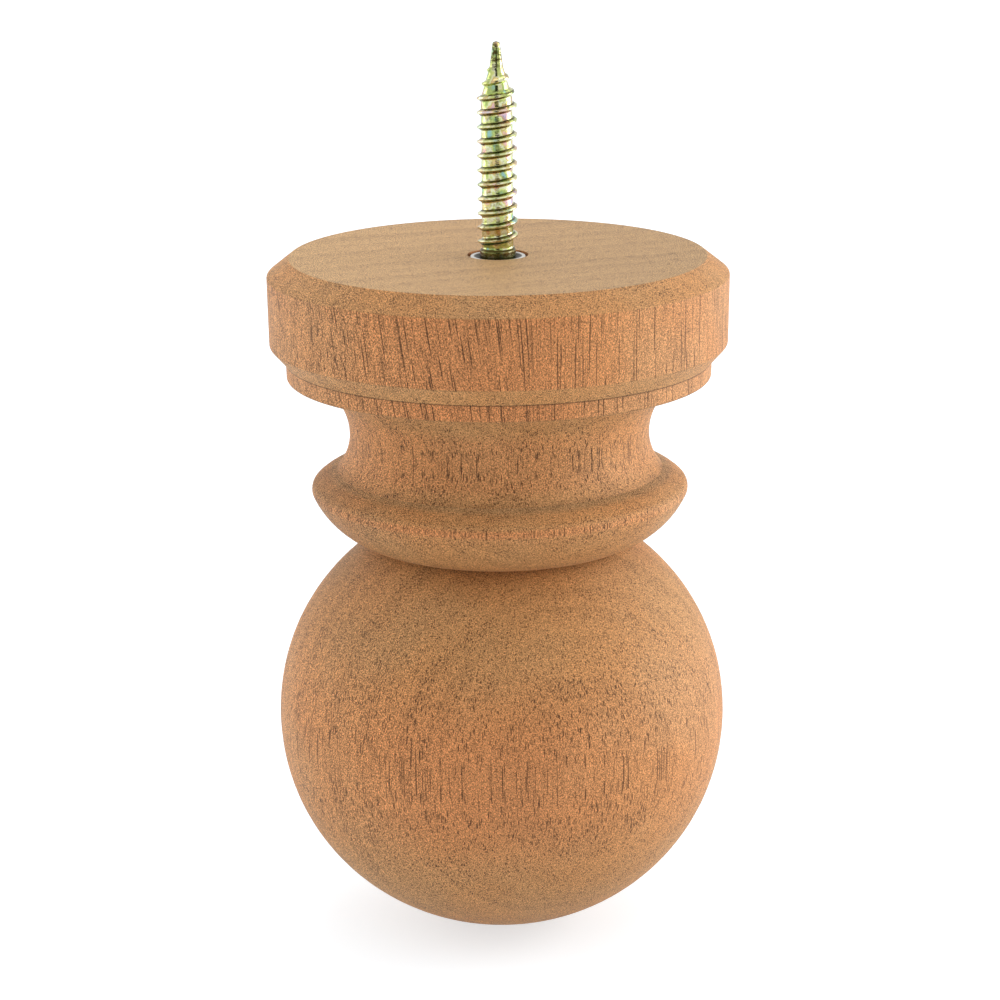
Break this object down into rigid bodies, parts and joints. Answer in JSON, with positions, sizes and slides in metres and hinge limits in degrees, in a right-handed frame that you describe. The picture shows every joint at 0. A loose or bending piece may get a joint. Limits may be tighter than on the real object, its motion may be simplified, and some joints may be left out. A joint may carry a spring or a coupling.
{
  "type": "globe post cap",
  "caption": "Turned hardwood ball on a coved neck and chamfered round base, with a hanger bolt under it that screws into a post.",
  "frame": {"origin": "centre of the flat seat face, where the cap meets the top of its post", "axes": "+Z along the turning's axis up through the globe, so the hanger bolt points down; -Y is the side the picture shows"},
  "size_m": [0.0912, 0.0912, 0.1801],
  "materials": {
    "turned_wood": "unfinished, fine sanded",
    "zinc_insert": "dull cast zinc",
    "yellow_zinc_steel": "yellow chromate on zinc plate"
  },
  "bodies": {
    "root": {"turned_body": "turned_wood", "threaded_insert": "zinc_insert", "hanger_bolt": "yellow_zinc_steel"}
  },
  "joints": []
}
